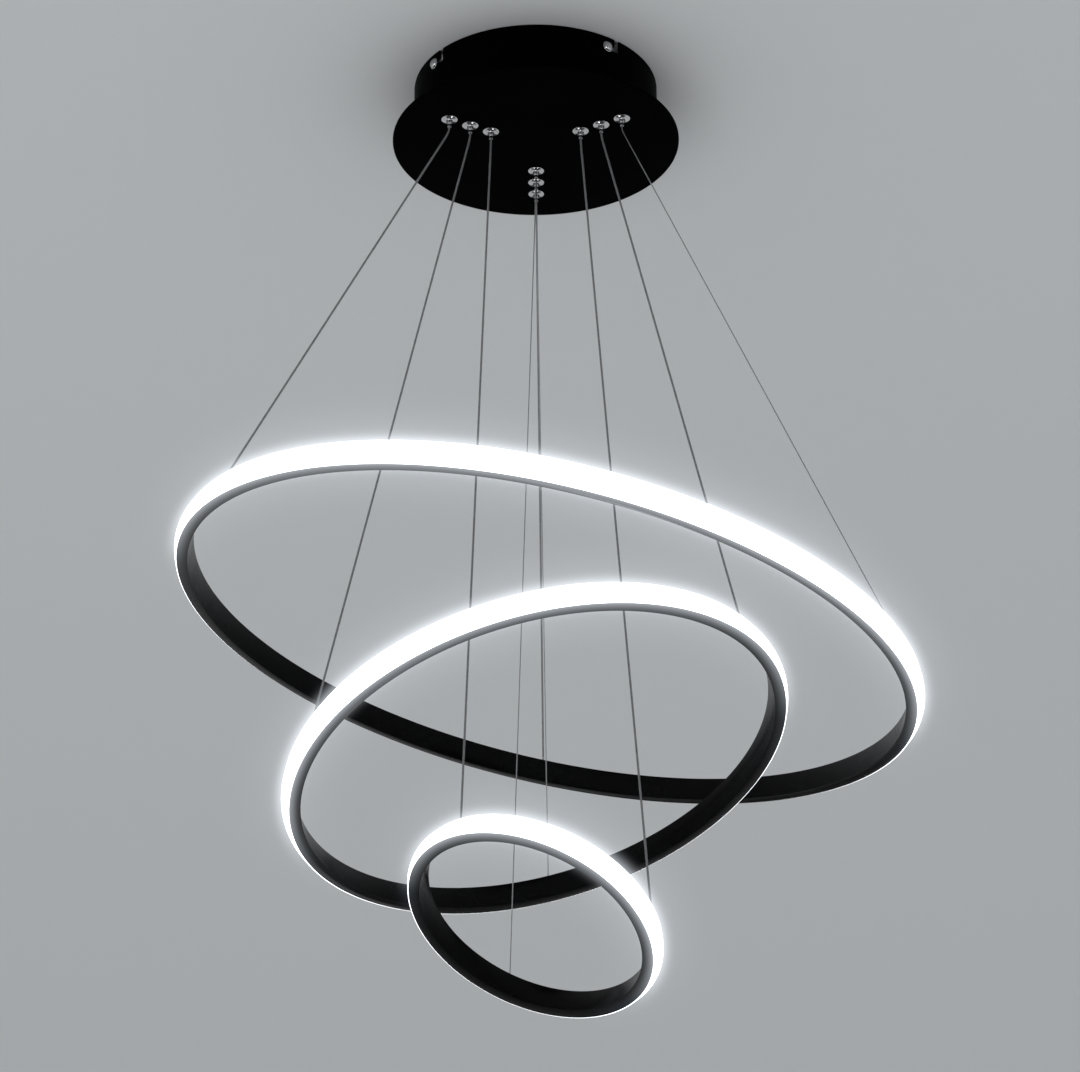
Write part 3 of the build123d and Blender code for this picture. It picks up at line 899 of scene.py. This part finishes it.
def grip_outline():
    """A flange that rises as a shallow cone, the tapered boss, and the barrel above the disc."""
    bore = PLUNGER_RADIUS + FIT_GAP
    return [
        (bore, BARREL_LENGTH),
        (BARREL_RADIUS - BARREL_CHAMFER, BARREL_LENGTH),
        (BARREL_RADIUS, BARREL_LENGTH - BARREL_CHAMFER),
        (BARREL_RADIUS, 0.0),
        (FLANGE_RADIUS - 0.1 * MM, 0.0),
        (FLANGE_RADIUS, -0.1 * MM),
        (FLANGE_RADIUS - 0.03 * MM, -0.3 * MM),
        (FLANGE_RADIUS - 0.2 * MM, -0.42 * MM),
        (FLANGE_RADIUS - 0.5 * MM, -0.5 * MM),
        (FLANGE_RADIUS - 2.0 * MM, -0.74 * MM),
        (BOSS_RADIUS + 1.2 * MM, -0.98 * MM),
        (BOSS_RADIUS + 0.35 * MM, -1.25 * MM),
        (BOSS_RADIUS + 0.08 * MM, -1.6 * MM),
        (BOSS_RADIUS - 0.05 * MM, -2.1 * MM),
        (BOSS_TIP_RADIUS + 0.1 * MM, -BOSS_LENGTH + 0.4 * MM),
        (BOSS_TIP_RADIUS - 0.15 * MM, -BOSS_LENGTH),
        (bore, -BOSS_LENGTH),
    ]


def make_grips(rings):
    """Nine grips in the disc, one for each wire."""
    shape = lathe(grip_outline(), 48)
    places = [ring.grip(side) for ring in rings for side in SIDES]
    parts = [shape.moved(Matrix.Translation(place)) for place in places]
    made = piece("cable_grips", merged(parts), [GRIP_CHROME], sharp=30)
    stands_for(made, "canopy", "chrome", "grip_bodies")


def make_plunger(ring, side):
    """A thin stem with a ball-shaped collar at its tip, round the wire."""
    bore = (BARE_RADIUS if ring.bare(side) else JACKET_RADIUS) + PLUNGER_WIRE_GAP
    low = -PLUNGER_REACH
    neck = low + PLUNGER_TIP_HEIGHT + COLLAR_OVERLAP
    inner = PLUNGER_RADIUS - COLLAR_SINK
    outline = [(bore, PLUNGER_DEPTH), (PLUNGER_RADIUS, PLUNGER_DEPTH), (PLUNGER_RADIUS, neck)]
    for k in range(9):
        angle = pi * (k + 1) / 10
        radius = inner + (PLUNGER_TIP_RADIUS - inner) * sin(angle)
        outline.append((radius, low + (neck - low) * (1 + cos(angle)) / 2))
    outline.append((bore, low))
    name = f"{ring.name}_{side}_release_sleeve"
    made = piece(name, lathe(outline, 32), [COLLAR_CHROME_PAINTED_SHADE], sharp=40)
    made.data.transform(Matrix.Translation(ring.grip(side)))
    stands_for(made, f"{ring.name}_{side}_release", "chrome", f"{ring.name}_{side}_plunger")


# ------------------------------------------------------------------ build
rings = [Ring(name) for name in RINGS]
make_disc()
make_drum()
make_side_screws()
make_grips(rings)
for ring in rings:
    make_channel(ring)
    make_diffuser(ring)
    hanger = f"{ring.name}_hanger"
    make_wire_ends(ring, ("left", "right"), f"{ring.name}_side_wire_ends", hanger)
    make_wire_ends(ring, ("rear",), f"{ring.name}_rear_wire_end", f"{ring.name}_ring")
    for side in SIDES:
        make_plunger(ring, side)
        make_wire(ring, side)

# Nodes that keep their own shape and only get a material
NYLON = moulded("white_nylon", (0.72, 0.72, 0.69), (0.8, 0.8, 0.77), 0.35, 0.5, 600.0)
SHEATH = moulded("black_sheath", (0.012, 0.012, 0.012), (0.03, 0.03, 0.03), 0.5, 0.65, 700.0)
carried = {
    "ceiling_bracket": ZINC,
    "driver_case": ZINC,
    "driver_lid": ZINC,
    "grip_nuts": ZINC,
    "driver_board": circuit_board(),
    "terminal_block": NYLON,
    "earth_terminal": metal("plain_brass", (0.55, 0.38, 0.13), (0.7, 0.52, 0.22), 500.0),
    "input_lead": SHEATH,
}
board = led_board()
splice = metal("plain_steel", (0.32, 0.33, 0.34), (0.45, 0.46, 0.47), 400.0)
for name in RINGS:
    carried[f"{name}_led_boards"] = board
    carried[f"{name}_splice_plates"] = splice
for node, material in carried.items():
    for material_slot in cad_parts[node].material_slots:
        material_slot.material = material


# ------------------------------------------------------------------ stage, lights and camera
ROOM_HEIGHT = 2.4
ROOM_HALF = 9.0
CEILING_GAP = 0.0006


def one_sided(name, colour, glow):
    """Pale paint, with a soft glow of its own, that is only there for what looks at its front."""
    paint = Paint(name, Base_Color=(*colour, 1), Roughness=0.9, Specular_IOR_Level=0.1)
    paint.shader.inputs["Emission Color"].default_value = (*colour, 1)
    paint.shader.inputs["Emission Strength"].default_value = glow
    tree = paint.tree
    see_through = tree.nodes.new("ShaderNodeBsdfTransparent")
    mix = tree.nodes.new("ShaderNodeMixShader")
    side = tree.nodes.new("ShaderNodeNewGeometry")
    tree.links.new(side.outputs["Backfacing"], mix.inputs["Fac"])
    tree.links.new(paint.shader.outputs["BSDF"], mix.inputs[1])
    tree.links.new(see_through.outputs["BSDF"], mix.inputs[2])
    output = next(n for n in tree.nodes if n.type == "OUTPUT_MATERIAL")
    tree.links.new(mix.outputs["Shader"], output.inputs["Surface"])
    return paint.material


def stage_plane(name, corners, material):
    """A rectangle of the stage, which isn't part of the lamp."""
    mesh = bpy.data.meshes.new(name)
    mesh.from_pydata(corners, [], [(0, 1, 2, 3)])
    mesh.materials.append(material)
    made = bpy.data.objects.new(name, mesh)
    bpy.context.scene.collection.objects.link(made)
    return made


def flat_corners(half_x, half_y, height, y=0.0):
    """The corners of a level rectangle that faces up."""
    return [(-half_x, y - half_y, height), (half_x, y - half_y, height),
            (half_x, y + half_y, height), (-half_x, y + half_y, height)]


def upright_corners(half_x, y, low, high):
    """The corners of a standing rectangle across the Y axis."""
    return [(-half_x, y, low), (half_x, y, low), (half_x, y, high), (-half_x, y, high)]


ceiling = flat_corners(ROOM_HALF, ROOM_HALF, CEILING_GAP)
ceiling_paint = one_sided("pale_ceiling", (0.60, 0.615, 0.625), 0.0)
stage_plane("pale_ceiling", ceiling[::-1], ceiling_paint)
floor = flat_corners(ROOM_HALF, ROOM_HALF, -ROOM_HEIGHT)
stage_plane("pale_floor", floor, one_sided("pale_floor", (0.7, 0.7, 0.7), 0.55))

# Dark flags that are seen only in polished metal
cloth = Paint("dark_cloth", Base_Color=(0.002, 0.002, 0.002, 1)).material
flags = [
    stage_plane("floor_flag", flat_corners(0.55, 4.5, -ROOM_HEIGHT + 0.02, 2.5), cloth),
    stage_plane("far_flag", upright_corners(0.5, 4.5, -1.65, -0.7), cloth),
    stage_plane("back_flag", upright_corners(2.5, -4.0, -2.3, 0.0), cloth),
]
for flag in flags:
    flag.visible_camera = False
    flag.visible_diffuse = False
    flag.visible_shadow = False


def area_light(name, place, target, width, height, watts, sheen_only=True):
    """A soft panel that the camera doesn't see."""
    data = bpy.data.lights.new(name, "AREA")
    data.shape = "RECTANGLE"
    data.size = width
    data.size_y = height
    data.energy = watts
    made = bpy.data.objects.new(name, data)
    bpy.context.scene.collection.objects.link(made)
    made.location = place
    made.rotation_euler = (Vector(target) - Vector(place)).to_track_quat("-Z", "Y").to_euler()
    made.visible_camera = False
    made.visible_diffuse = not sheen_only


# Highlights in the metal
area_light("front_strip", (-0.1, -2.9, -1.75), (0, 0, -0.1), 0.4, 1.5, 11)
for side, x in (("left", -0.125), ("right", 0.125)):
    area_light(f"{side}_floor_strip", (x, 2.1, -ROOM_HEIGHT + 0.1), (x, 2.11, 0), 0.14, 1.2, 2.2)
# Soft light on everything
area_light("front_fill", (-1.2, -2.5, -1.9), (0, 0, -0.3), 1.6, 1.6, 13, sheen_only=False)
# A panel over the canopy's open top, so that what is inside it shows from above
area_light("canopy_top", (0, 0, 0.0004), (0, 0.00001, -0.1), 0.14, 0.14, 0.12, sheen_only=False)

world = bpy.data.worlds.new("soft_grey")
bpy.context.scene.world = world
world.use_nodes = True
background = world.node_tree.nodes["Background"]
background.inputs["Color"].default_value = (0.62, 0.64, 0.66, 1)
background.inputs["Strength"].default_value = 0.6

camera_data = bpy.data.cameras.new("camera")
camera_data.sensor_width = SENSOR_WIDTH
camera_data.lens = FOCAL_PIXELS * SENSOR_WIDTH / PHOTO_WIDTH
camera_data.clip_start = 0.05
camera_data.clip_end = 50
camera = bpy.data.objects.new("camera", camera_data)
bpy.context.scene.collection.objects.link(camera)
ahead = Vector((0, cos(CAMERA_PITCH), sin(CAMERA_PITCH)))
level_right = Vector((1, 0, 0))
level_up = level_right.cross(ahead)
right = level_right * cos(CAMERA_ROLL) + level_up * sin(CAMERA_ROLL)
up = level_up * cos(CAMERA_ROLL) - level_right * sin(CAMERA_ROLL)
turned = Matrix((right, up, -ahead)).transposed()
camera.matrix_world = Matrix.Translation(CAMERA_PLACE) @ turned.to_4x4()
bpy.context.scene.camera = camera

bpy.context.scene.view_settings.view_transform = "Standard"


# ------------------------------------------------------------------ bloom of the lit bands
class Develop:
    """The compositor's nodes, one step after another."""

    def __init__(self, scene):
        scene.use_nodes = True
        self.tree = scene.node_tree
        self.tree.nodes.clear()

    def step(self, kind, inputs, **settings):
        """A node whose inputs, by number, are values or other nodes' outputs."""
        made = self.tree.nodes.new(kind)
        for key, value in settings.items():
            setattr(made, key, value)
        for index, source in inputs.items():
            if isinstance(source, (int, float, tuple)):
                made.inputs[index].default_value = source
            else:
                self.tree.links.new(source, made.inputs[index])
        return made.outputs[0] if made.outputs else None

    def mix(self, blend, first, second, share=1.0, clamp=False):
        inputs = {0: share, 1: first, 2: second}
        return self.step("CompositorNodeMixRGB", inputs, blend_type=blend, use_clamp=clamp)

    def blur(self, source, share):
        """A soft blur that reaches over this share of the picture's width."""
        kind = "CompositorNodeRelativeToPixel"
        size = self.step(kind, {1: share, 2: source}, data_type="FLOAT", reference_dimension="X")
        return self.step("CompositorNodeBlur", {0: source, 1: size}, filter_type="GAUSS")


WHITE = (1.0, 1.0, 1.0, 1.0)
WIDE_REACH, WIDE_TINT, WIDE_SHARE = 0.065, (0.9, 0.95, 1.0, 1.0), 0.75
NEAR_REACH, NEAR_TINT = 0.016, (0.8, 0.85, 0.9, 1.0)
develop = Develop(bpy.context.scene)
picture = develop.step("CompositorNodeRLayers", {})
held = develop.mix("MIX", picture, picture, clamp=True)
over = develop.mix("SUBTRACT", picture, WHITE)
lit = develop.mix("MULTIPLY", over, WHITE, clamp=True)
wide = develop.mix("MULTIPLY", develop.blur(lit, WIDE_REACH), WIDE_TINT)
near = develop.mix("MULTIPLY", develop.blur(lit, NEAR_REACH), NEAR_TINT)
raised = develop.mix("ADD", WHITE, wide, share=WIDE_SHARE)
glowing = develop.mix("MULTIPLY", held, raised)
finished = develop.mix("ADD", glowing, near)
develop.step("CompositorNodeComposite", {0: finished})
